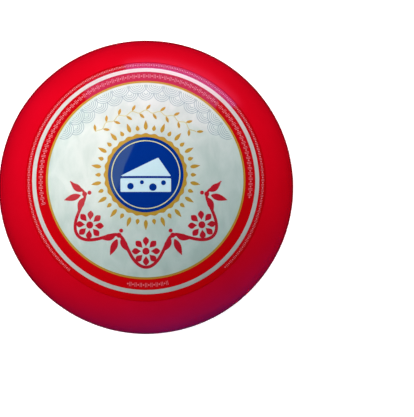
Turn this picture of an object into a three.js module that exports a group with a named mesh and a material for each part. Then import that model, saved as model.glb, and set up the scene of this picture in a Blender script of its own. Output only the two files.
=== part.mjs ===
// A whole ball of semi-hard cheese in its red coat, with one large round label laid over the crown.
//
// Units are millimetres and +Z is up. The origin is the middle of the flat spot that the ball rests on,
// and +Z is the axis that both pieces are turned around.
import * as THREE from 'three';

// Driving dimensions of the ball
const ballDiameter = 160; // at the waist, the widest level
const ballHeight = 126; // resting spot to crown: the ball has settled a little under its own weight
const settledDepth = 4; // how much of the round underside is pressed flat
const easedDepth = 9; // height above the table up to which the rim of the flat spot is eased

// Driving dimensions of the label
const labelDiameter = 122.7; // across the label as it lies on the crown, seen from above
const labelThickness = 0.5;
const labelGap = 0.3; // clear space between the coat and the label

// Facets: both pieces use the same number around, so their flats run parallel
const facetsAround = 72;
const facetsOnEase = 5;
const facetsUpSide = 34;
const facetsAcrossLabel = 12;

// What follows from them: the section is half an ellipse, cut off by the table
const halfWidth = ballDiameter / 2;
const halfHeight = (ballHeight + settledDepth) / 2;
const waistLevel = halfHeight - settledDepth;
const crownAngle = Math.PI / 2;

// An arc of the section from an angle below or above the waist up to the crown, pushed out by lift.
function sectionArc(lift, startAngle) {
  return new THREE.EllipseCurve(0, waistLevel, halfWidth + lift, halfHeight + lift, startAngle, crownAngle, false);
}

// Where the line that touches the section at an angle meets the table, measured from the axis.
// The ellipse is x = a cos(t), z = w + b sin(t), and its tangent there runs as (-a sin(t), b cos(t)).
function tangentReach(angle) {
  const touch = new THREE.Vector2(halfWidth * Math.cos(angle), waistLevel + halfHeight * Math.sin(angle));
  const slope = new THREE.Vector2(-halfWidth * Math.sin(angle), halfHeight * Math.cos(angle));
  return touch.x - (slope.x * touch.y) / slope.y;
}

// The radius at which the round underside would meet the table without any easing.
function sharpFootRadius() {
  return halfWidth * Math.sqrt(1 - (waistLevel / halfHeight) ** 2);
}

// Half of the ball's outline, from the middle of the flat spot, round the waist, to the crown.
function ballProfile() {
  const easeAngle = Math.asin((easedDepth - waistLevel) / halfHeight);
  const side = sectionArc(0, easeAngle);
  const easeTop = side.getPoint(0);
  const corner = new THREE.Vector2(tangentReach(easeAngle), 0);
  const flatEdge = new THREE.Vector2(2 * sharpFootRadius() - corner.x, 0);
  const ease = new THREE.QuadraticBezierCurve(flatEdge, corner, easeTop);
  const middle = new THREE.Vector2(0, 0);
  return [middle, ...ease.getPoints(facetsOnEase), ...side.getPoints(facetsUpSide).slice(1)];
}

// The label's section: out along its underside from the crown, over its edge, and back along its face.
function labelProfile() {
  const edgeAngle = Math.acos(labelDiameter / ballDiameter);
  const underside = sectionArc(labelGap, edgeAngle).getPoints(facetsAcrossLabel).reverse();
  const face = sectionArc(labelGap + labelThickness, edgeAngle).getPoints(facetsAcrossLabel);
  return [...underside, ...face];
}

// A solid of revolution. LatheGeometry turns its profile around Y, so the result is tipped to stand on Z.
function turnedSolid(profile) {
  profile[0].x = 0;
  profile[profile.length - 1].x = 0;
  const geometry = new THREE.LatheGeometry(profile, facetsAround);
  geometry.rotateX(Math.PI / 2);
  return geometry;
}

// Smooth crimson coat with a soft shine.
function coatMaterial() {
  return new THREE.MeshStandardMaterial({ color: '#c8041c', roughness: 0.36, metalness: 0 });
}

// Silvery printed foil paper.
function foilMaterial() {
  return new THREE.MeshStandardMaterial({ color: '#c6cfcd', roughness: 0.34, metalness: 0.35 });
}

function makeCheeseBall() {
  const mesh = new THREE.Mesh(turnedSolid(ballProfile()), coatMaterial());
  mesh.name = 'cheese_ball';
  return mesh;
}

function makeLabel() {
  const mesh = new THREE.Mesh(turnedSolid(labelProfile()), foilMaterial());
  mesh.name = 'label';
  return mesh;
}

const ballOfCheese = new THREE.Group();
ballOfCheese.add(makeCheeseBall());
ballOfCheese.add(makeLabel());

export default ballOfCheese;
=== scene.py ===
import math

import bmesh
import bpy
import numpy as np
from mathutils import Matrix, Vector


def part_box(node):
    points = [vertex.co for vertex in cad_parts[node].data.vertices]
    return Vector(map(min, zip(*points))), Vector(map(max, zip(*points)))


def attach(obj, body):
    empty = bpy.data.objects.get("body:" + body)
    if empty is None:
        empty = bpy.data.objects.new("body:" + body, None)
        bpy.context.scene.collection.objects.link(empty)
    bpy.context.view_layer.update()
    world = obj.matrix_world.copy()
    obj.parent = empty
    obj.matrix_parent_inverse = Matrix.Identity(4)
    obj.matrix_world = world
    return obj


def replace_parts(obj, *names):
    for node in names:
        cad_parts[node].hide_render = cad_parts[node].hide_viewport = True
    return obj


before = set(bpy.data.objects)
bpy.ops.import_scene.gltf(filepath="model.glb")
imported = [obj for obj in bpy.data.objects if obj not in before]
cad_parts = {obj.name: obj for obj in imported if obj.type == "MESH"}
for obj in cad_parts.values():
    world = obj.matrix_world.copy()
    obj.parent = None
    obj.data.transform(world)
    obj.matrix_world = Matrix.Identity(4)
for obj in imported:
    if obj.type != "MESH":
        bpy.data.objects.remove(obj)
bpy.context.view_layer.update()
mm = 0.001
ballLow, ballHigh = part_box("cheese_ball")
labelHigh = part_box("label")[1]
print("frame loaded: the ball and its label")

# All sizes below are millimetres. Plan points are seen from above, with the label's top towards +Y.
ball = {
    "halfWidth": (ballHigh.x - ballLow.x) / 2 / mm,
    "height": (ballHigh.z - ballLow.z) / mm,
    "settledDepth": 4.0,  # the part of the round underside that is pressed flat
    "easedDepth": 9.0,  # the rim of the flat spot is eased up to this height
    "stepsAround": 384,
    "stepsOnFlat": 6,
    "stepsOnEase": 14,
    "stepsUpSide": 190,
}
ball["halfHeight"] = (ball["height"] + ball["settledDepth"]) / 2
ball["waistLevel"] = ball["halfHeight"] - ball["settledDepth"]

# The uneven coat of a hand-turned ball
lobes = {
    "depth": 0.12,  # how far the coat swells and sinks between its broad soft lobes
    "broad": (2, 0.7, 3.1, 0.4),  # times round, its start, times up, its start
    "quick": [(0.6, 5, 4.2, 0.0), (0.4, 9, -7.3, 1.9)],  # share, times round, times up, start
    "fadeIn": 0.12,  # share of the height, above the table, over which the lobes set in
    "fadeOut": 0.15,  # and the share over which they die away again
    "flatAbove": 0.8,  # no lobes above this share, where the label lies
}

paper = {
    "radius": labelHigh.x / mm - 0.6,  # the real paper lies closer in than the CAD shell's outer face
    "glueLine": 0.015,
    "thickness": 0.07,
    "inkThickness": 0.03,
    "inkBite": 0.01,  # how far an ink reaches into what it is printed on
    "stepsAround": 440,
    "stepsAcross": 110,
}

# The rings of print, as radii seen from above
rings = {
    "goldInner": 49.05,
    "goldOuter": 50.08,
    "bareInner": 55.42,  # between the red bands a ring of bare foil shows
    "bareOuter": 57.6,
    "overlap": 0.3,  # how far the red runs in under the gold
    "seam": 0.01,  # clear space between the bare ring and the red
    "stepsAround": 720,
    "stepsAcross": 8,
}

meshing = {
    "weld": 1e-7,  # metres: points closer than this are joined
    "sharpAngle": 50,  # degrees: a wider fold keeps a hard edge
}
filmGrids = {  # whether a film's grid closes round its turn, and whether it starts in one point
    "stroke": (False, False),
    "ring": (True, False),
    "disc": (True, True),
}


# Joins grid points into quads. index is (count, along, across); wraps closes the grid along its second axis.
def gridQuads(index, wraps):
    here = index if wraps else index[:, :-1]
    ahead = np.roll(index, -1, axis=1) if wraps else index[:, 1:]
    corners = [here[:, :, :-1], ahead[:, :, :-1], ahead[:, :, 1:], here[:, :, 1:]]
    return np.stack(corners, axis=-1).reshape(-1, 4)


# Makes a mesh object in metres, welds its poles and seams, and turns every face outwards.
def meshObject(name, points, quads):
    mesh = bpy.data.meshes.new(name)
    mesh.from_pydata((points.reshape(-1, 3) * mm).tolist(), [], quads.tolist())
    work = bmesh.new()
    work.from_mesh(mesh)
    bmesh.ops.remove_doubles(work, verts=work.verts, dist=meshing["weld"])
    bmesh.ops.recalc_face_normals(work, faces=work.faces)
    work.to_mesh(mesh)
    work.free()
    mesh.polygons.foreach_set("use_smooth", np.ones(len(mesh.polygons), bool))
    mesh.set_sharp_from_angle(angle=math.radians(meshing["sharpAngle"]))
    made = bpy.data.objects.new(name, mesh)
    bpy.context.scene.collection.objects.link(made)
    return made


# Finishes a piece: its material and the body it rides on.
def dress(piece, material):
    piece.data.materials.append(material)
    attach(piece, "root")
    return piece


# Half of the ball's outline as (radius, height): the flat spot, then a quadratic curve with its handle on the
# table, then the ellipse r = a cos(t), h = w + b sin(t) up to the crown.
def ballOutline():
    a, b, w = ball["halfWidth"], ball["halfHeight"], ball["waistLevel"]
    startAngle = math.asin((ball["easedDepth"] - w) / b)
    startX, startZ = a * math.cos(startAngle), w + b * math.sin(startAngle)
    handleX = startX + a * math.tan(startAngle) * startZ / b
    footX = 2 * a * math.sqrt(1 - (w / b) ** 2) - handleX
    s = np.linspace(0, 1, ball["stepsOnEase"])
    easeX = (1 - s) ** 2 * footX + 2 * s * (1 - s) * handleX + s**2 * startX
    easeZ = s**2 * startZ
    t = np.linspace(startAngle, math.pi / 2, ball["stepsUpSide"])
    flatX = np.linspace(0, footX, ball["stepsOnFlat"])
    radius = np.concatenate([flatX[:-1], easeX[:-1], a * np.cos(t)])
    level = np.concatenate([np.zeros_like(flatX[:-1]), easeZ[:-1], w + b * np.sin(t)])
    radius[-1] = 0
    return radius, level


# The coat's lobes in millimetres: half the depth times the sum of sin(n p + s) sin(m u + q) and a few waves
# k sin(n p + m u + s), for the angle p and the share u of the height. They fade out at the flat spot and
# under the label, so that both still sit on the true form.
def coatSwell(angle, level):
    up = level / ball["height"]
    timesRound, startRound, timesUp, startUp = lobes["broad"]
    swell = np.sin(timesRound * angle + startRound) * np.sin(timesUp * up + startUp)
    for share, timesRound, timesUp, start in lobes["quick"]:
        swell = swell + share * np.sin(timesRound * angle + timesUp * up + start)
    fade = np.clip(up / lobes["fadeIn"], 0, 1) * np.clip((lobes["flatAbove"] - up) / lobes["fadeOut"], 0, 1)
    return lobes["depth"] * fade * swell / 2


# The coated ball: the outline carried round the axis, x = r cos(p), y = r sin(p), swollen along the radius.
def makeCoat():
    radius, level = ballOutline()
    turn = np.linspace(0, 2 * math.pi, ball["stepsAround"], endpoint=False)[:, None]
    swollen = radius[None] + coatSwell(turn, level[None]) * (radius[None] / ball["halfWidth"])
    height = np.broadcast_to(level[None], swollen.shape)
    points = np.stack([swollen * np.cos(turn), swollen * np.sin(turn), height], axis=-1)
    index = np.arange(swollen.size).reshape(1, *swollen.shape)
    return meshObject("waxCoat", points, gridQuads(index, wraps=True))


# Where the foil has drawn up into long soft pleats and short pinches while it was smoothed over the crown
pleats = {
    "count": 11,
    "acrossRange": (-38.0, 2.0),
    "alongRange": (-30.0, 34.0),
    "height": 0.040,
    "halfWidth": 1.5,
    "halfLength": 12.0,
    "heightShares": (0.4, 1.0),
    "widthShares": (0.7, 1.3),
    "lengthShares": (0.5, 1.1),
    "lean": 7,  # degrees to either side
    "shift": 1,  # to either side of its place in the row
    "seed": 11,
}
pinches = [  # across, along, turned by degrees, half length, half width, height
    (-37.6, 24.0, 80, 7.0, 1.2, 0.300),
    (-35.0, 9.5, 90, 8.0, 1.4, 0.260),
    (-30.2, 35.2, -50, 3.0, 0.8, 0.240),
    (-26.0, 29.0, -58, 5.0, 1.3, 0.260),
    (-38.5, -7.0, 96, 4.0, 1.2, 0.200),
    (-31.0, -13.0, 84, 5.0, 1.3, 0.160),
    (-9.0, -31.0, 82, 5.0, 1.4, 0.140),
    (2.0, -33.0, 86, 4.0, 1.3, 0.110),
    (14.8, 36.0, 80, 3.0, 1.0, 0.180),
    (29.5, 24.0, -30, 8.0, 2.4, 0.400),
    (36.0, 10.0, -76, 6.0, 2.2, 0.240),
]


# Height of the foil's relief: a sum of ridges h exp(-(u/p)^2 - (v/q)^2), u across and v along each ridge.
def foilRelief(x, y):
    draw = np.random.default_rng(pleats["seed"])
    ridges = []
    for across in np.linspace(*pleats["acrossRange"], pleats["count"]):
        along = draw.uniform(*pleats["alongRange"])
        lean = 90 + draw.uniform(-pleats["lean"], pleats["lean"])
        height = pleats["height"] * draw.uniform(*pleats["heightShares"])
        length = pleats["halfLength"] * draw.uniform(*pleats["lengthShares"])
        width = pleats["halfWidth"] * draw.uniform(*pleats["widthShares"])
        shifted = across + draw.uniform(-pleats["shift"], pleats["shift"])
        ridges.append((shifted, along, lean, length, width, height))
    relief = np.zeros(np.broadcast(x, y).shape)
    for across, along, lean, length, width, height in ridges + pinches:
        c, s = math.cos(math.radians(lean)), math.sin(math.radians(lean))
        v = (x - across) * c + (y - along) * s
        u = (y - along) * c - (x - across) * s
        relief += height * np.exp(-((u / width) ** 2) - (v / length) ** 2)
    return relief


# A level over the crown: z = w + (b + lift) sqrt(1 - (x^2 + y^2) / (a + lift)^2), with the foil's relief.
def crownLevel(x, y, lift):
    a, b = ball["halfWidth"] + lift, ball["halfHeight"] + lift
    reach = np.clip(1 - (x**2 + y**2) / a**2, 0, 1)
    return ball["waistLevel"] + b * np.sqrt(reach) + foilRelief(x, y)


# A thin film over the crown, from its plan points (count, along, across). Its face is crownLevel at the
# higher lift, its back crownLevel at the lower one, and a wall joins them round the edge. form names its
# kind of grid.
def layFilm(name, x, y, lowLift, highLift, form):
    wraps, fromPoint = filmGrids[form]
    levels = np.stack([crownLevel(x, y, highLift), crownLevel(x, y, lowLift)], axis=1)
    plan = [np.broadcast_to(part[:, None], levels.shape) for part in (x, y)]
    points = np.stack([*plan, levels], axis=-1)
    index = np.arange(levels.size).reshape(levels.shape)
    face, back = index[:, 0], index[:, 1]
    walls = [np.stack([face[:, :, -1], back[:, :, -1]], axis=-1)]
    if not fromPoint:
        walls.append(np.stack([face[:, :, 0], back[:, :, 0]], axis=-1))
    quads = [gridQuads(part, wraps) for part in (face, back, *walls)]
    if not wraps:
        for end in (0, -1):
            quads.append(gridQuads(np.stack([face[:, end], back[:, end]], axis=-1), wraps=False))
    return meshObject(name, points, np.concatenate(quads))


# One layer of print. layer 1 lies on the paper, layer 2 on the first ink, and so on.
def printInk(name, plan, material, layer, form="stroke"):
    surface = paper["glueLine"] + paper["thickness"] + paper["inkThickness"] * (layer - 1)
    low, high = surface - paper["inkBite"], surface + paper["inkThickness"]
    return dress(layFilm(name, *plan, low, high, form), material)


# A full ring between two radii: x = r cos(p), y = r sin(p).
def ringPlan(inner, outer):
    turn = np.linspace(0, 2 * math.pi, rings["stepsAround"], endpoint=False)[None, :, None]
    radius = np.linspace(inner, outer, rings["stepsAcross"])[None, None, :]
    return radius * np.cos(turn), radius * np.sin(turn)


# A shape round its own middle: local points s R(t) (cos t, sin t), for s from the inner share up to 1.
def roundShape(outline, stepsAround, stepsAcross, inner=0.0):
    t = np.linspace(0, 2 * math.pi, stepsAround, endpoint=False)[None, :, None]
    s = np.linspace(inner, 1, stepsAcross)[None, None, :]
    return s * outline(t) * np.cos(t), s * outline(t) * np.sin(t)


# A round disc, or a ring with an inner share: R(t) is the same all round.
def discShape(radius, steps, inner=0.0):
    return roundShape(lambda t: np.full_like(t, radius), *steps, inner)


# A brush line along a curve of points (count, steps): the curve plus and minus its half width along the
# normal, with points between, so that it follows the relief.
def strokePlan(x, y, halfWidth):
    pointsAcross = 5
    dx, dy = np.gradient(x, axis=1), np.gradient(y, axis=1)
    length = np.hypot(dx, dy)
    side = np.linspace(-1, 1, pointsAcross) * np.broadcast_to(halfWidth, x.shape)[:, :, None]
    return x[:, :, None] - side * (dy / length)[:, :, None], y[:, :, None] + side * (dx / length)[:, :, None]


# Sets copies of a local group of shapes on an arc about the label's middle. Their own up points to the
# middle, or away from it with outward. angles are degrees, anticlockwise from +X.
def onArc(plan, radius, angles, outward=False):
    x, y = plan
    turn = np.radians(np.asarray(angles, float))[:, None, None, None]
    sign = 1.0 if outward else -1.0
    upX, upY = sign * np.cos(turn), sign * np.sin(turn)
    placedX = radius * np.cos(turn) + x * upY + y * upX
    placedY = radius * np.sin(turn) - x * upX + y * upY
    return tuple(placed.reshape(-1, *placed.shape[2:]) for placed in (placedX, placedY))


# Puts plans of the same grid together, one after the other.
def joinPlans(*plans):
    return tuple(np.concatenate(parts) for parts in zip(*plans))


# A flat-sided shape from its corners, anticlockwise. About their mean, R(t) is the p-norm of its sides,
# (sum of (cos(t - side) / distance)^p)^(-1/p), over the sides that face t. A high p keeps the corners tight.
def corneredShape(corners, sharpness, steps):
    corner = np.array(corners, float)
    middle = corner.mean(axis=0)
    leastFacing = 1e-6  # stands in for the sides that face away
    run = np.roll(corner, -1, axis=0) - corner
    side = np.arctan2(-run[:, 0], run[:, 1])
    distance = (corner[:, 0] - middle[0]) * np.cos(side) + (corner[:, 1] - middle[1]) * np.sin(side)

    def outline(t):
        facing = np.clip(np.cos(t[..., None] - side) / distance, leastFacing, None)
        return (facing**sharpness).sum(axis=-1) ** (-1 / sharpness)

    x, y = roundShape(outline, *steps)
    return x + middle[0], y + middle[1]


# An upright bar as one quad, out to its half width and half length from its middle.
def plainBar(halfWidth, halfLength):
    ends = np.array([-1.0, 1.0])
    return tuple(np.broadcast_arrays(halfWidth * ends[None, None, :], halfLength * ends[None, :, None]))


# Straight brush lines: (x, y) + reach (cos h, sin h). They start one step out from x, y. rows hold x, y, the
# heading in degrees and the length, and halfWidth takes the share s of the way.
def brushLines(rows, steps, halfWidth):
    x, y, heading, length = np.array(rows, float).T[:, :, None]
    s = np.linspace(0, 1, steps)[None]
    reach = length * (s + 1 / (steps - 1))
    h = np.radians(heading)
    return strokePlan(x + reach * np.cos(h), y + reach * np.sin(h), halfWidth(s))


# A brush line's half width as it swells and tapers: w sin(pi s^p) + e. Its belly lies before the middle for a
# power p under 1, and past it for one over 1.
def bellied(halfWidth, power, thinnest):
    return lambda s: halfWidth * np.sin(math.pi * s**power) + thinnest


# The point at a distance from the local middle, turned by degrees anticlockwise from +X
def pointAt(distance, turn):
    return distance * math.cos(math.radians(turn)), distance * math.sin(math.radians(turn))


# sRGB hex to linear red, green, blue and alpha
def linear(code):
    parts = [int(code[k : k + 2], 16) / 255 for k in (1, 3, 5)]
    return (*[p / 12.92 if p <= 0.04045 else ((p + 0.055) / 1.055) ** 2.4 for p in parts], 1)


# Adds a node: settings are its own options, inputs are values by socket, links are outputs by socket.
def addNode(tree, kind, inputs=None, links=None, **settings):
    node = tree.nodes.new(kind)
    for key, value in settings.items():
        setattr(node, key, value)
    for key, value in (inputs or {}).items():
        node.inputs[key].default_value = value
    for key, output in (links or {}).items():
        tree.links.new(output, node.inputs[key])
    return node


# A material with an empty tree, its shader and its output
def newMaterial(name, shaderInputs):
    material = bpy.data.materials.new(name)
    material.use_nodes = True
    tree = material.node_tree
    tree.nodes.clear()
    shader = addNode(tree, "ShaderNodeBsdfPrincipled", inputs=shaderInputs)
    addNode(tree, "ShaderNodeOutputMaterial", links={"Surface": shader.outputs["BSDF"]})
    return material, tree, shader


# Paraffin cheese wax, dipped and wiped: a deep crimson skin with a soft satin shine. The eye gets a broad
# tinted gleam, a faint cloudiness where the skin is thicker, and the gentle dimples of set wax.
def cheeseWax():
    look = {
        "thick": "#c70213",
        "thin": "#d7031a",
        "cloudSize": 26.0,
        "dimpleSize": 1.9,
        "dimpleDepth": 0.02,
        "swellSize": 11.0,
        "swellDepth": 0.05,
        "smoothest": 0.19,
        "roughest": 0.25,
    }
    material, tree, shader = newMaterial(
        "redCheeseWax",
        {
            "IOR": 1.44,
            "Specular Tint": (1.0, 0.15, 0.8, 1),
            "Coat Weight": 1.0,
            "Coat IOR": 1.02,
            "Coat Tint": (0.885, 1.0, 1.0, 1),
        },
    )
    place = addNode(tree, "ShaderNodeTexCoord").outputs["Object"]
    cloud = addNode(
        tree,
        "ShaderNodeTexNoise",
        inputs={"Scale": 1 / (look["cloudSize"] * mm), "Detail": 3, "Roughness": 0.55},
        links={"Vector": place},
    )
    tone = addNode(
        tree,
        "ShaderNodeMix",
        data_type="RGBA",
        inputs={6: linear(look["thick"]), 7: linear(look["thin"])},
        links={0: cloud.outputs["Fac"]},
    )
    shine = addNode(
        tree,
        "ShaderNodeMapRange",
        inputs={"From Min": 0.3, "From Max": 0.7, "To Min": look["smoothest"], "To Max": look["roughest"]},
        links={"Value": cloud.outputs["Fac"]},
    )
    dimples = addNode(
        tree,
        "ShaderNodeTexNoise",
        inputs={"Scale": 1 / (look["dimpleSize"] * mm), "Detail": 2},
        links={"Vector": place},
    )
    swell = addNode(
        tree,
        "ShaderNodeTexNoise",
        inputs={"Scale": 1 / (look["swellSize"] * mm), "Detail": 1},
        links={"Vector": place},
    )
    broad = addNode(
        tree,
        "ShaderNodeBump",
        inputs={"Strength": 0.5, "Distance": look["swellDepth"] * mm},
        links={"Height": swell.outputs["Fac"]},
    )
    fine = addNode(
        tree,
        "ShaderNodeBump",
        inputs={"Strength": 0.5, "Distance": look["dimpleDepth"] * mm},
        links={"Height": dimples.outputs["Fac"], "Normal": broad.outputs["Normal"]},
    )
    tree.links.new(tone.outputs[2], shader.inputs["Base Color"])
    tree.links.new(shine.outputs["Result"], shader.inputs["Roughness"])
    tree.links.new(fine.outputs["Normal"], shader.inputs["Normal"])
    return material


# Metallised label paper under varnish: vacuum-coated aluminium on paper. The eye gets a pearly silver that
# turns from white to grey-green as it faces away, with fine streaks from the rolling direction and soft
# pearly patches where it lies less tight. dark and light are the streaks' colours and pearl the patches'.
def metallisedPaper(name, dark, light, pearl):
    look = {
        "patchWidth": 8.0,
        "patchLength": 15.0,
        "streakWidth": 2.2,
        "streakLength": 34.0,
        "streakDepth": 0.007,
        "grain": 0.8,
        "smoothest": 0.4,
        "roughest": 0.48,
    }
    material, tree, shader = newMaterial(
        name,
        {
            "Metallic": 0.42,
            "IOR": 1.5,
            "Specular IOR Level": 0.3,
            "Coat Weight": 0.8,
            "Coat Roughness": 0.08,
            "Coat IOR": 1.5,
        },
    )
    place = addNode(tree, "ShaderNodeTexCoord").outputs["Object"]
    stretched = addNode(
        tree,
        "ShaderNodeMapping",
        inputs={"Scale": (1.0, look["streakWidth"] / look["streakLength"], 1.0)},
        links={"Vector": place},
    )
    streaks = addNode(
        tree,
        "ShaderNodeTexNoise",
        inputs={"Scale": 1 / (look["streakWidth"] * mm), "Detail": 3, "Roughness": 0.5},
        links={"Vector": stretched.outputs["Vector"]},
    )
    grain = addNode(
        tree,
        "ShaderNodeTexNoise",
        inputs={"Scale": 1 / (look["grain"] * mm), "Detail": 2},
        links={"Vector": place},
    )
    loose = addNode(
        tree,
        "ShaderNodeMapping",
        inputs={"Scale": (1.0, look["patchWidth"] / look["patchLength"], 1.0)},
        links={"Vector": place},
    )
    patches = addNode(
        tree,
        "ShaderNodeTexNoise",
        inputs={"Scale": 1 / (look["patchWidth"] * mm), "Detail": 4, "Roughness": 0.55, "Distortion": 0.5},
        links={"Vector": loose.outputs["Vector"]},
    )
    looseness = addNode(
        tree,
        "ShaderNodeMapRange",
        inputs={"From Min": 0.36, "From Max": 0.64},
        links={"Value": patches.outputs["Fac"]},
    )
    streaked = addNode(
        tree,
        "ShaderNodeMix",
        data_type="RGBA",
        inputs={6: linear(dark), 7: linear(light)},
        links={0: streaks.outputs["Fac"]},
    )
    tone = addNode(
        tree,
        "ShaderNodeMix",
        data_type="RGBA",
        inputs={7: linear(pearl)},
        links={0: looseness.outputs["Result"], 6: streaked.outputs[2]},
    )
    shine = addNode(
        tree,
        "ShaderNodeMapRange",
        inputs={"From Min": 0.3, "From Max": 0.7, "To Min": look["smoothest"], "To Max": look["roughest"]},
        links={"Value": grain.outputs["Fac"]},
    )
    rolled = addNode(
        tree,
        "ShaderNodeBump",
        inputs={"Strength": 0.6, "Distance": look["streakDepth"] * mm},
        links={"Height": streaks.outputs["Fac"]},
    )
    tree.links.new(tone.outputs[2], shader.inputs["Base Color"])
    tree.links.new(shine.outputs["Result"], shader.inputs["Roughness"])
    tree.links.new(rolled.outputs["Normal"], shader.inputs["Normal"])
    return material


# Offset ink under gloss varnish: a flat film of pigment, faintly mottled where the roller laid it unevenly,
# with a mirror-like skin that takes the colour of its gleam from the ink. The mottle is drawn coarser than
# life, so that it shows.
def varnishedInk(name, full, thin, gleam, ior=1.6, metallic=0.0, roughness=0.06):
    look = {"mottle": 1.4, "peel": 3.0, "peelDepth": 0.006, "spread": 0.2}
    material, tree, shader = newMaterial(
        name,
        {
            "Metallic": metallic,
            "IOR": ior,
            "Specular IOR Level": 1.0,
            "Specular Tint": (*gleam, 1),
        },
    )
    place = addNode(tree, "ShaderNodeTexCoord").outputs["Object"]
    mottle = addNode(
        tree,
        "ShaderNodeTexNoise",
        inputs={"Scale": 1 / (look["mottle"] * mm), "Detail": 3, "Roughness": 0.6},
        links={"Vector": place},
    )
    tone = addNode(
        tree,
        "ShaderNodeMix",
        data_type="RGBA",
        inputs={6: linear(full), 7: linear(thin)},
        links={0: mottle.outputs["Fac"]},
    )
    peel = addNode(
        tree,
        "ShaderNodeTexNoise",
        inputs={"Scale": 1 / (look["peel"] * mm), "Detail": 1},
        links={"Vector": place},
    )
    skin = addNode(
        tree,
        "ShaderNodeBump",
        inputs={"Strength": 0.5, "Distance": look["peelDepth"] * mm},
        links={"Height": peel.outputs["Fac"]},
    )
    shine = addNode(
        tree,
        "ShaderNodeMapRange",
        inputs={"To Min": roughness * (1 - look["spread"]), "To Max": roughness * (1 + look["spread"])},
        links={"Value": mottle.outputs["Fac"]},
    )
    tree.links.new(tone.outputs[2], shader.inputs["Base Color"])
    tree.links.new(shine.outputs["Result"], shader.inputs["Roughness"])
    tree.links.new(skin.outputs["Normal"], shader.inputs["Normal"])
    return material


# The lamps: where each stands from the ball's middle in degrees and metres, how large it is, how bright its
# face is in red, green and blue, and whether it serves matt light, gleams or all. From tableRight on, each is
# what a close thing throws back: the pale table, the red of the ball itself from above and below, the red
# that the bands take from it, the table's gleam in the coat, and the violet cast of a coloured neighbour.
lamps = {
    "backSoftbox": {
        "azimuth": 3,
        "elevation": 25,
        "distance": 1.5,
        "size": (2.18, 1.4),
        "face": (0.70, 0.35, 0.44),
        "serves": "all",
    },
    "ceilingSoftbox": {
        "azimuth": -70,
        "elevation": 50,
        "distance": 1.5,
        "size": (1.8, 1.3),
        "face": (0.84, 0.64, 0.60),
        "serves": "all",
    },
    "windowBehind": {
        "azimuth": 18,
        "elevation": -4,
        "distance": 1.5,
        "size": (1.6, 0.45),
        "face": (1.42, 0.44, 0.80),
        "serves": "all",
    },
    "leftSoftbox": {
        "azimuth": -95,
        "elevation": 20,
        "distance": 1.5,
        "size": (1.2, 1.0),
        "face": (1.60, 1.70, 1.66),
        "serves": "matt",
    },
    "overheadPanel": {
        "azimuth": 0,
        "elevation": 90,
        "distance": 1.5,
        "size": (1.2, 1.2),
        "face": (0.28, 0.34, 0.35),
        "serves": "matt",
    },
    "tableRight": {
        "azimuth": 95,
        "elevation": -8,
        "distance": 1.5,
        "size": (1.0, 0.6),
        "face": (0.80, 0.74, 0.74),
        "serves": "matt",
    },
    "redBounce": {
        "azimuth": 120,
        "elevation": 60,
        "distance": 1.5,
        "size": (1.0, 0.8),
        "face": (2.0, 0.0, 0.0),
        "serves": "matt",
    },
    "redBelow": {
        "azimuth": 95,
        "elevation": -40,
        "distance": 1.5,
        "size": (1.0, 0.6),
        "face": (4.4, 0.0, 0.0),
        "serves": "matt",
    },
    "bandBounce": {
        "azimuth": 175,
        "elevation": 50,
        "distance": 1.5,
        "size": (1.0, 0.8),
        "face": (4.0, 0.0, 0.0),
        "serves": "matt",
    },
    "tableGleam": {
        "azimuth": 0,
        "elevation": -90,
        "distance": 0.6,
        "size": (1.8, 1.8),
        "face": (0.09, 0.0, 0.0),
        "serves": "gleams",
    },
    "tableGlow": {
        "azimuth": 165,
        "elevation": -22,
        "distance": 0.25,
        "size": (0.16, 0.12),
        "face": (0.0, 66.0, 79.0),
        "serves": "matt",
    },
}

# The room: two half-domes, a bright one about a direction and a dim one opposite, given as lamp faces are
room = {
    "azimuth": -24,
    "elevation": -5,
    "distance": 3.0,
    "bright": (1.33, 1.66, 1.63),
    "dim": (0.27, 0.40, 0.41),
}


# The way out to an azimuth a, clockwise from +Y, and an elevation e: (sin a cos e, cos a cos e, sin e).
def directionOf(look):
    a, e = math.radians(look["azimuth"]), math.radians(look["elevation"])
    return Vector((math.sin(a) * math.cos(e), math.cos(a) * math.cos(e), math.sin(e)))


# Hangs a light away from the ball's middle and turns it to face that. It serves matt light, gleams or all.
def hangLight(data, away, distance, serves):
    light = bpy.data.objects.new(data.name, data)
    bpy.context.scene.collection.objects.link(light)
    light.location = Vector((0, 0, ball["waistLevel"] * mm)) + away * distance
    light.rotation_mode = "QUATERNION"
    light.rotation_quaternion = away.to_track_quat("Z", "Y")
    light.visible_camera = False
    light.visible_diffuse = serves != "gleams"
    light.visible_glossy = serves != "matt"
    data.cycles.use_multiple_importance_sampling = serves != "matt"
    return light


# A rectangular lamp. Its energy, pi times its area, gives a face of brightness 1, which its colour scales.
def makeLamp(name, look):
    width, height = look["size"]
    data = bpy.data.lights.new(name, "AREA")
    data.shape = "RECTANGLE"
    data.size, data.size_y = width, height
    data.energy = width * height * math.pi
    data.color = look["face"]
    return hangLight(data, directionOf(look), look["distance"], look["serves"])


# The room's soft light. A half-dome of brightness 1 is a sun as wide as half the sky with an energy of pi,
# and the two together light a face by m + g (n . d), for its outward normal n and the bright one's way d.
def makeRoomLight():
    for name, side in (("bright", 1), ("dim", -1)):
        data = bpy.data.lights.new(name + "HalfDome", "SUN")
        data.angle = math.pi
        data.energy = math.pi
        data.color = room[name]
        hangLight(data, side * directionOf(room), room["distance"], "matt")
    world = bpy.data.worlds.new("darkWorld")
    world.color = (0, 0, 0)
    bpy.context.scene.world = world


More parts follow.
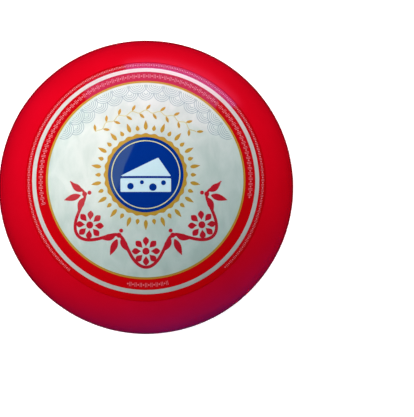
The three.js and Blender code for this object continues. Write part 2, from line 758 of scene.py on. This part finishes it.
# A pale seamless sweep of matt paper: flat in the middle, and turned up all round by h = (r - q)^2 / f beyond
# q. It glows a little, so that it stays an even white, and adds no light of its own to the ball.
def makeSweep():
    look = {"flatRadius": 1400.0, "outerRadius": 3400.0, "curl": 1500.0, "stepsAround": 96, "stepsOut": 48}
    turn = np.linspace(0, 2 * math.pi, look["stepsAround"], endpoint=False)[:, None]
    radius = np.linspace(0, look["outerRadius"], look["stepsOut"])[None]
    beyond = np.clip(radius - look["flatRadius"], 0, None)
    height = np.broadcast_to(beyond**2 / look["curl"], (look["stepsAround"], look["stepsOut"]))
    points = np.stack([radius * np.cos(turn), radius * np.sin(turn), height], axis=-1)
    index = np.arange(height.size).reshape(1, *height.shape)
    sweep = meshObject("paleSweep", points, gridQuads(index, wraps=True))
    sweep.data.flip_normals()
    material = newMaterial(
        "paleSweepPaper",
        {
            "Base Color": linear("#f4f4f4"),
            "Roughness": 0.9,
            "Specular IOR Level": 0.0,
            "Emission Color": (1, 1, 1, 1),
            "Emission Strength": 0.6,
        },
    )[0]
    sweep.data.materials.append(material)
    sweep.visible_diffuse = False
    sweep.visible_glossy = False
    sweep.visible_shadow = False


# The camera looks down on the ball along a line nearly 86 degrees above the table, from a little to the
# right. It is turned aside, so that the ball's middle stands left of and above the middle of a frame of 414
# by 417 points.
def makeCamera():
    view = {
        "lens": 100.0,
        "sensor": 36.0,
        "elevation": 85.77,
        "toTheRight": 0.52,  # degrees
        "distance": 634.6,
        "frameWidth": 414,
        "frameHeight": 417,
        "ballAcross": 146.98,  # the ball's middle, in points from the frame's left edge
        "ballDown": 187.11,  # and from its upper edge
    }
    focal = view["lens"] / view["sensor"] * view["frameHeight"]
    e, lean = math.radians(view["elevation"]), math.radians(view["toTheRight"])
    look = -Vector((math.sin(lean), -math.cos(lean) * math.cos(e), math.cos(lean) * math.sin(e)))
    right = look.cross(Vector((0, 1, 0))).normalized()
    up = right.cross(look)
    middle = Vector((0, 0, ball["waistLevel"] * mm))
    place = middle - look * view["distance"] * mm
    aside = (view["frameWidth"] / 2 - view["ballAcross"]) / focal
    below = (view["frameHeight"] / 2 - view["ballDown"]) / focal
    look = (look + right * aside - up * below).normalized()
    right = look.cross(up).normalized()
    up = right.cross(look)
    data = bpy.data.cameras.new("camera")
    data.lens, data.sensor_width = view["lens"], view["sensor"]
    camera = bpy.data.objects.new("camera", data)
    bpy.context.scene.collection.objects.link(camera)
    turned = Matrix((right, up, -look)).transposed().to_4x4()
    camera.matrix_world = Matrix.Translation(place) @ turned
    bpy.context.scene.camera = camera


print("helpers ready")

makeCamera()
makeSweep()
makeRoomLight()
lit = {name: makeLamp(name, look) for name, look in lamps.items()}
print("camera, sweep and lights made")

# foilHazed is the same paper under a faint haze of the red ink, between the two red bands.
waxRed = cheeseWax()
foilSilver = metallisedPaper("metallisedPaper", dark="#d6e0db", light="#e2eae5", pearl="#edf2ee")
foilHazed = metallisedPaper("hazedMetallisedPaper", dark="#e2d8d3", light="#e8dfda", pearl="#ece4df")
inkRed = varnishedInk("redOffsetInk", "#b4020c", "#bb030f", gleam=(0.07, 0.36, 1.0), ior=1.9)
inkLetterRed = varnishedInk("redOverprintInk", "#b01322", "#b81828", gleam=(0.3, 0.5, 0.5))
inkWhite = varnishedInk("whiteOpaqueInk", "#c4d3dc", "#bccbd6", gleam=(0.4, 0.4, 0.4), roughness=0.2)
inkGold = varnishedInk(
    "goldBronzeInk", "#b98829", "#c39233", gleam=(0.6, 0.5, 0.3), metallic=0.2, roughness=0.35
)
inkPaleGold = varnishedInk("paleGoldInk", "#c9bd88", "#d3c89a", gleam=(0.5, 0.5, 0.4), roughness=0.3)
inkBlue = varnishedInk("blueOffsetInk", "#01287a", "#022d82", gleam=(0.4, 0.8, 0.2))
inkGrey = varnishedInk("greyLineInk", "#9aa9ae", "#a6b3b8", gleam=(0.5, 0.5, 0.5), roughness=0.3)
inkFine = varnishedInk("finePrintInk", "#d0707a", "#d67d87", gleam=(0.3, 0.5, 0.8))
print("materials made")

coat = dress(makeCoat(), waxRed)
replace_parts(coat, "cheese_ball")
print("coat made:", len(coat.data.polygons), "faces")


# The label's paper: a disc over the whole crown, x = r cos(p), y = r sin(p), fine enough to take the pleats.
def makePaper():
    turn = np.linspace(0, 2 * math.pi, paper["stepsAround"], endpoint=False)[None, :, None]
    radius = np.linspace(0, paper["radius"], paper["stepsAcross"])[None, None, :]
    plan = radius * np.cos(turn), radius * np.sin(turn)
    low = paper["glueLine"]
    sheet = layFilm("labelPaper", *plan, low, low + paper["thickness"], "disc")
    return dress(sheet, foilSilver)


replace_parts(makePaper(), "label")
redRings = [
    ringPlan(rings["goldOuter"] - rings["overlap"], rings["bareInner"]),
    ringPlan(rings["bareOuter"], paper["radius"]),
]
bands = printInk("redBands", joinPlans(*redRings), inkRed, 1, "ring")
bareEdges = rings["bareInner"] + rings["seam"], rings["bareOuter"] - rings["seam"]
printInk("bareRing", ringPlan(*bareEdges), foilHazed, 1, "ring")
printInk("goldRing", ringPlan(rings["goldInner"], rings["goldOuter"]), inkGold, 2, "ring")

# The lamps that light nothing but the pieces named here
litAlone = {
    "tableGlow": [coat],
    "tableGleam": [coat],
    "redBounce": [coat],
    "redBelow": [coat],
    "bandBounce": [bands],
}
for lampName, receivers in litAlone.items():
    lightOn = bpy.data.collections.new(lampName + "FallsOn")
    for piece in receivers:
        lightOn.objects.link(piece)
    lit[lampName].light_linking.receiver_collection = lightOn
print("paper and rings made")

# Bead-and-bar borders in both red bands. Each row is an arc: radius, first and last angle, bar height.
borders = {
    "rows": [(52.95, -11, 193, 2.3), (52.95, 258.5, 281.5, 2.2), (59.6, -49, 229, 1.5)],
    "pitch": 2.7,  # from one bead to the next
    "beadRadius": 0.42,
    "beadSteps": (12, 2),  # round and across, here and below
    "barApart": 0.72,  # the two bars between the beads
    "barHalfWidth": 0.13,
}


# The middles of a row's repeats, in degrees, spread evenly over its arc
def rowAngles(radius, first, last):
    count = round(math.radians(last - first) * radius / borders["pitch"])
    return first + (np.arange(count) + 0.5) * (last - first) / count


beadPlans, barPlans = [], []
for radius, first, last, height in borders["rows"]:
    middles = rowAngles(radius, first, last)
    aside = math.degrees(borders["barApart"] / 2 / radius)
    half = (last - first) / len(middles) / 2
    bar = plainBar(borders["barHalfWidth"], height / 2)
    bead = discShape(borders["beadRadius"], borders["beadSteps"])
    beadPlans.append(onArc(bead, radius, middles))
    barPlans.append(onArc(bar, radius, np.concatenate([middles + half - aside, middles + half + aside])))
printInk("bandBeads", joinPlans(*beadPlans), inkFine, 2, "disc")
printInk("bandBars", joinPlans(*barPlans), inkFine, 2)
print("borders made:", sum(len(plan[0]) for plan in barPlans), "bars")

# The seal in the middle: a blue disc in a scalloped gold rim, with a pale line and a wedge of cheese in white
seal = {
    "along": 1.5,  # its middle stands this far above the label's middle
    "radius": 20.4,
    "scallops": 28,
    "scallopDepth": 0.32,
    "rimWidth": 1.8,
    "lineIn": 3.4,  # the pale line lies this far inside the rim's outer edge
    "lineWidth": 0.45,
    "frontCorners": [(-12.4, -8.6), (12.4, -8.6), (12.4, -1.9), (-12.4, -1.9)],
    "topCorners": [(-12.6, -0.8), (12.4, -0.8), (6.1, 8.3)],
    "sharpness": 36,  # how tight the wedge's corners are
    "holes": [(-7.5, -5.8, 1.6), (-1.9, -3.9, 1.0), (3.5, -6.3, 1.85), (8.7, -4.1, 1.2)],
    "rimSteps": (448, 24),
    "fieldSteps": (240, 24),
    "lineSteps": (240, 3),
    "wedgeSteps": (256, 14),
    "holeSteps": (32, 4),
}


# Moves local points to the seal's middle
def onSeal(plan, across=0.0, along=0.0):
    return plan[0] + across, plan[1] + seal["along"] + along


# The rim's outline: R(t) = r + d cos(n t)
def scallopedOutline(t):
    return seal["radius"] + seal["scallopDepth"] * np.cos(seal["scallops"] * t)


fieldRadius = seal["radius"] - seal["rimWidth"]
lineRadius = seal["radius"] - seal["lineIn"]
lineShare = 1 - seal["lineWidth"] / lineRadius
printInk("sealRim", onSeal(roundShape(scallopedOutline, *seal["rimSteps"])), inkGold, 1, "disc")
printInk("sealField", onSeal(discShape(fieldRadius, seal["fieldSteps"])), inkBlue, 2, "disc")
printInk("sealLine", onSeal(discShape(lineRadius, seal["lineSteps"], lineShare)), inkPaleGold, 3, "ring")
for name, corners in (("wedgeFront", seal["frontCorners"]), ("wedgeTop", seal["topCorners"])):
    wedgeSide = corneredShape(corners, seal["sharpness"], seal["wedgeSteps"])
    printInk(name, onSeal(wedgeSide), inkWhite, 3, "disc")
holes = [onSeal(discShape(size, seal["holeSteps"]), x, y) for x, y, size in seal["holes"]]
printInk("wedgeHoles", joinPlans(*holes), inkBlue, 4, "disc")
print("seal made")

# Rays all round the seal, long and short in turn, each a straight brush line
burst = {
    "count": 36,
    "start": 21.9,
    "long": 26.9,
    "short": 24.8,
    "halfWidth": 0.9,
    "power": 0.7,
    "thinnest": 0.05,
    "steps": 15,
}
rayWidth = bellied(burst["halfWidth"], burst["power"], burst["thinnest"])
for name, end, first in (("longRays", burst["long"], 0), ("shortRays", burst["short"], 1)):
    ray = brushLines([(0, 0, 90, end - burst["start"])], burst["steps"], rayWidth)
    turns = 90 + 360 * np.arange(first, burst["count"], 2) / burst["count"]
    printInk(name, onSeal(onArc(ray, burst["start"], turns, outward=True)), inkGold, 1)

# A running vine above the rays: a waved stem r = R + A cos(pi n p) for p from -1 to 1, with a leaf out of
# every bow. A leaf's half width is w sin(pi s)^q + e.
vine = {
    "radius": 33.4,
    "swing": 0.7,
    "waves": 8,
    "halfSpan": 47.0,  # degrees to each side of the top
    "halfLine": 0.24,
    "steps": 361,
    "leafLength": 3.5,
    "leafHalfWidth": 0.66,
    "leafLean": 52,  # degrees off the stem's run
    "leafPower": 0.8,
    "leafThinnest": 0.03,
    "leafSteps": 13,
}
p = np.linspace(-1, 1, vine["steps"])[None]
vineTurn = np.radians(90 - vine["halfSpan"] * p)
vineRadius = vine["radius"] + vine["swing"] * np.cos(math.pi * vine["waves"] * p)
stem = strokePlan(vineRadius * np.cos(vineTurn), vineRadius * np.sin(vineTurn), vine["halfLine"])
printInk("vineStem", stem, inkPaleGold, 1)
bowTurns = 90 - vine["halfSpan"] * np.arange(-vine["waves"], vine["waves"] + 1) / vine["waves"]
leafPlans = []
for side, turns in ((1, bowTurns[0::2]), (-1, bowTurns[1::2])):
    leaf = brushLines(
        [(0, side * vine["swing"], side * vine["leafLean"], vine["leafLength"])],
        vine["leafSteps"],
        lambda s: vine["leafHalfWidth"] * np.sin(math.pi * s) ** vine["leafPower"] + vine["leafThinnest"],
    )
    leafPlans.append(onArc(leaf, vine["radius"], turns, outward=True))
printInk("vineLeaves", joinPlans(*leafPlans), inkGold, 2)

# Lace along the label's upper edge: two rows of fans, each of nested half circles (k cos t, k sin t)
lace = {
    "halfSpan": 64.0,  # degrees to each side of the top
    "rows": [  # radius of the fans' feet, count, sizes
        (47.8, 12, (4.7, 3.7, 2.7, 1.7, 0.7)),
        (43.4, 11, (3.9, 2.9, 1.9, 0.9)),
    ],
    "halfLine": 0.17,
    "steps": 41,
}
t = np.linspace(0, math.pi, lace["steps"])[None]
laceTurn = 2 * lace["halfSpan"] / lace["rows"][0][1]
lacePlans = []
for radius, count, sizes in lace["rows"]:
    k = np.array(sizes)[:, None]
    fan = strokePlan(k * np.cos(t), k * np.sin(t), lace["halfLine"])
    turns = 90 + laceTurn * (np.arange(count) - (count - 1) / 2)
    lacePlans += [onArc((fan[0][i : i + 1], fan[1][i : i + 1]), radius, turns) for i in range(len(sizes))]
printInk("laceFans", joinPlans(*lacePlans), inkGrey, 1)
print("rays, vine and lace made")

# A garland round the lower half: a waved stem r = R + A cos(pi n p / 2) for p from -1 to 1, which is
# w (1 - k |p|^q) wide to each side. A blossom stands inside every outer bow. Leaves fan out of a round bud on
# every inner bow, with a berry further in.
garland = {
    "radius": 37.6,
    "swing": 6.4,
    "bows": 7,
    "halfSpan": 88.0,  # degrees to each side of the bottom
    "stemHalfWidth": 0.8,
    "stemTaper": 0.6,  # the share of its width that the stem loses
    "stemPower": 8,  # the higher, the nearer the ends
    "stemSteps": 721,
    "petals": 8,
    "petalStart": 2.1,
    "petalLength": 4.7,
    "petalHalfWidth": 1.5,
    "petalPower": 1.3,
    "heartRadius": 1.75,
    "heartSteps": (32, 4),
    "blossomIn": 1.5,  # how far inside the mean radius a blossom's middle lies
    "leafTurns": (-54, 0, 54),  # degrees off the way to the label's edge
    "leafStart": 1.5,
    "leafLengths": (7.2, 8.8, 7.2),
    "leafHalfWidth": 1.6,
    "leafPower": 0.8,
    "thinnest": 0.04,
    "leafSteps": 17,
    "budRadius": 1.25,
    "berryRadius": 1.0,
    "budSteps": (24, 4),
    "berryIn": 2.5,
}
p = np.linspace(-1, 1, garland["stemSteps"])[None]
garlandTurn = np.radians(-90 + garland["halfSpan"] * p)
garlandRadius = garland["radius"] + garland["swing"] * np.cos(math.pi * garland["bows"] / 2 * p)
stemWidth = garland["stemHalfWidth"] * (1 - garland["stemTaper"] * np.abs(p) ** garland["stemPower"])
stem = strokePlan(garlandRadius * np.cos(garlandTurn), garlandRadius * np.sin(garlandTurn), stemWidth)
printInk("garlandStem", stem, inkLetterRed, 1)

bow = np.arange(-(garland["bows"] // 2), garland["bows"] // 2 + 1)
bowTurn = -90 + garland["halfSpan"] * 2 * bow / garland["bows"]
blossomTurns, leafTurns = bowTurn[bow % 2 == 0], bowTurn[bow % 2 == 1]
petalTurns = np.arange(garland["petals"]) * 360 / garland["petals"]
petalRows = [(*pointAt(garland["petalStart"], turn), turn, garland["petalLength"]) for turn in petalTurns]
petalWidth = bellied(garland["petalHalfWidth"], garland["petalPower"], garland["thinnest"])
petals = brushLines(petalRows, garland["leafSteps"], petalWidth)
blossomRadius = garland["radius"] - garland["blossomIn"]
printInk("garlandPetals", onArc(petals, blossomRadius, blossomTurns), inkLetterRed, 1)
heart = discShape(garland["heartRadius"], garland["heartSteps"])
printInk("garlandHearts", onArc(heart, blossomRadius, blossomTurns), inkLetterRed, 1, "disc")

innerBow = garland["radius"] - garland["swing"]
leafRows = [
    (*pointAt(garland["leafStart"], 90 + turn), 90 + turn, length)
    for turn, length in zip(garland["leafTurns"], garland["leafLengths"])
]
leafWidth = bellied(garland["leafHalfWidth"], garland["leafPower"], garland["thinnest"])
fans = brushLines(leafRows, garland["leafSteps"], leafWidth)
printInk("garlandLeaves", onArc(fans, innerBow, leafTurns, outward=True), inkLetterRed, 2)
bud = discShape(garland["budRadius"], garland["budSteps"])
printInk("garlandBuds", onArc(bud, innerBow, leafTurns), inkLetterRed, 2, "disc")
berry = discShape(garland["berryRadius"], garland["budSteps"])
berryRadius = innerBow - garland["berryIn"]
printInk("garlandBerries", onArc(berry, berryRadius, leafTurns), inkLetterRed, 1, "disc")
print("garland made")

view = bpy.context.scene.view_settings
view.view_transform = "Standard"
view.look = "None"
